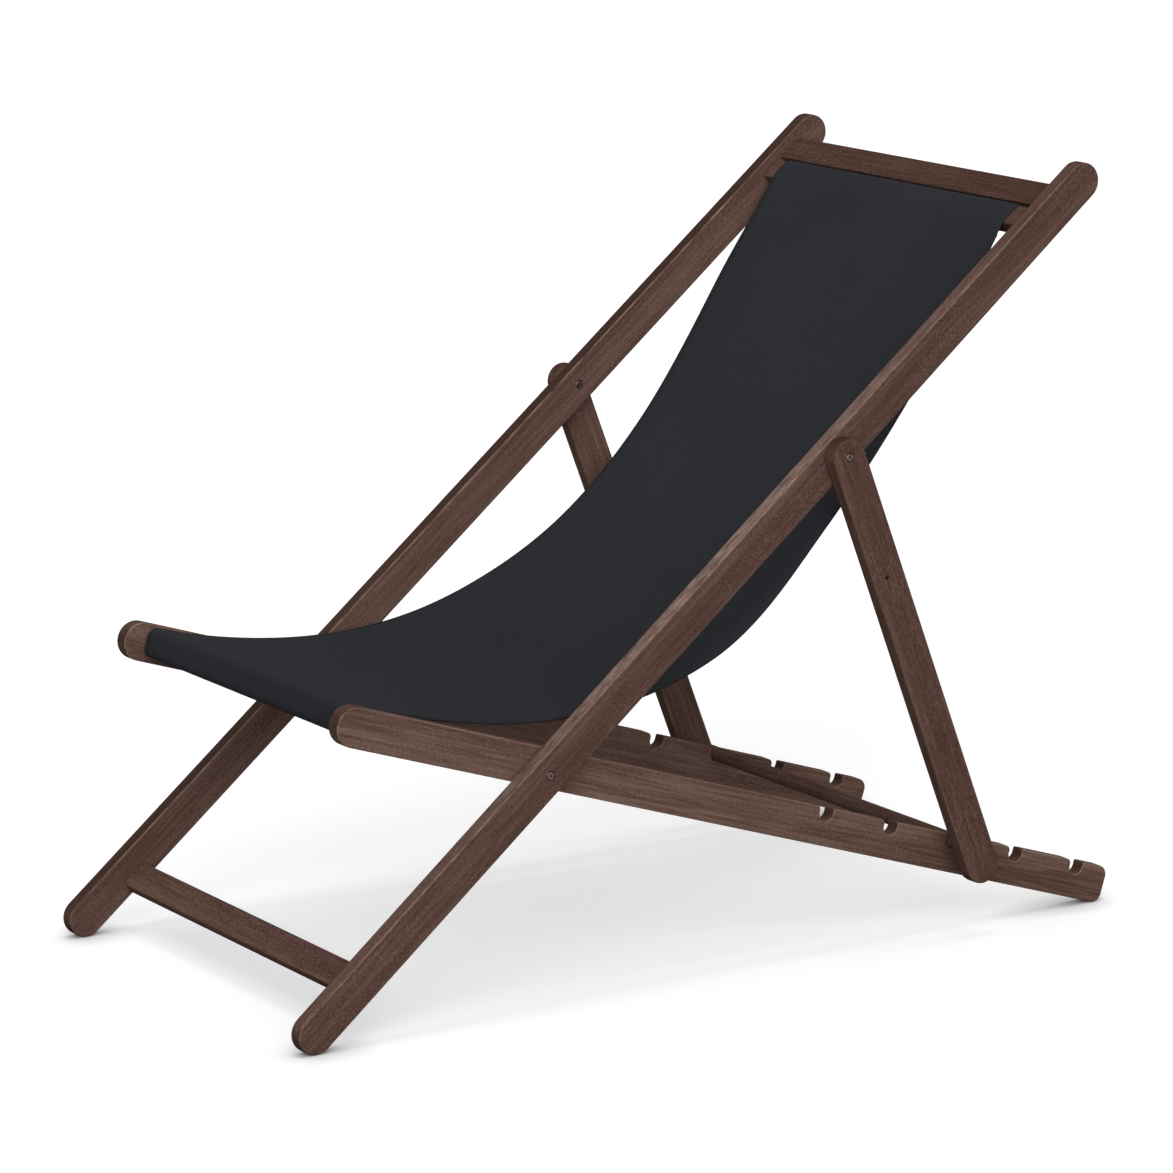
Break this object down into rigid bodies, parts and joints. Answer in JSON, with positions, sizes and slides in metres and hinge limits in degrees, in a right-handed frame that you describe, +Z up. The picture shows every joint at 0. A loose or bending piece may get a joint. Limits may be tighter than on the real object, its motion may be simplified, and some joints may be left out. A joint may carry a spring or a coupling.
{
  "type": "deck chair",
  "caption": "Folding wooden deck chair with hinged back, seat and prop frames, a notched seat rail for setting the slope, and a plain dark cloth sling.",
  "frame": {"origin": "on the floor, at the middle of the chair's box in width and depth", "axes": "+X to the sitter's left, -Y the way the sitter faces, +Z up"},
  "size_m": [0.554, 1.016, 0.813],
  "materials": {
    "stained_wood": "dark brown stain, satin, open grain",
    "dowel_wood": "bare, sanded",
    "sling_cloth": "plain canvas weave, matt",
    "steel": "dark zinc plating, dulled",
    "nylon": "smooth black"
  },
  "bodies": {
    "back_frame": {"back_rail_left": "stained_wood", "back_rail_right": "stained_wood", "top_slat_upper": "stained_wood", "top_slat_lower": "stained_wood", "foot_cross_bar": "stained_wood", "sling": "sling_cloth", "sling_dowel_top": "dowel_wood", "seat_pivot_bolt_left": "steel", "seat_pivot_bolt_right": "steel", "seat_pivot_nut_left": "steel", "seat_pivot_nut_right": "steel", "seat_pivot_spacer_left": "nylon", "seat_pivot_spacer_right": "nylon", "prop_pivot_bolt_left": "steel", "prop_pivot_bolt_right": "steel", "prop_pivot_nut_left": "steel", "prop_pivot_nut_right": "steel", "prop_pivot_washer_left": "nylon", "prop_pivot_washer_right": "nylon"},
    "seat_frame": {"seat_rail_left": "stained_wood", "seat_rail_right": "stained_wood", "seat_front_slat": "stained_wood", "seat_rear_slat": "stained_wood", "sling_dowel_front": "dowel_wood"},
    "prop_frame": {"prop_strut_left": "stained_wood", "prop_strut_right": "stained_wood", "prop_cross_bar": "stained_wood"}
  },
  "joints": [
    {"name": "seat_hinge", "type": "hinge", "parent": "back_frame", "child": "seat_frame", "pos_m": [0, -0.21647, 0.24552], "axis": [1, 0, 0], "range_deg": [-113, 0], "deforming": ["sling"]},
    {"name": "prop_hinge", "type": "hinge", "parent": "back_frame", "child": "prop_frame", "pos_m": [0, 0.1328, 0.53555], "axis": [1, 0, 0], "range_deg": [0, 108]}
  ]
}
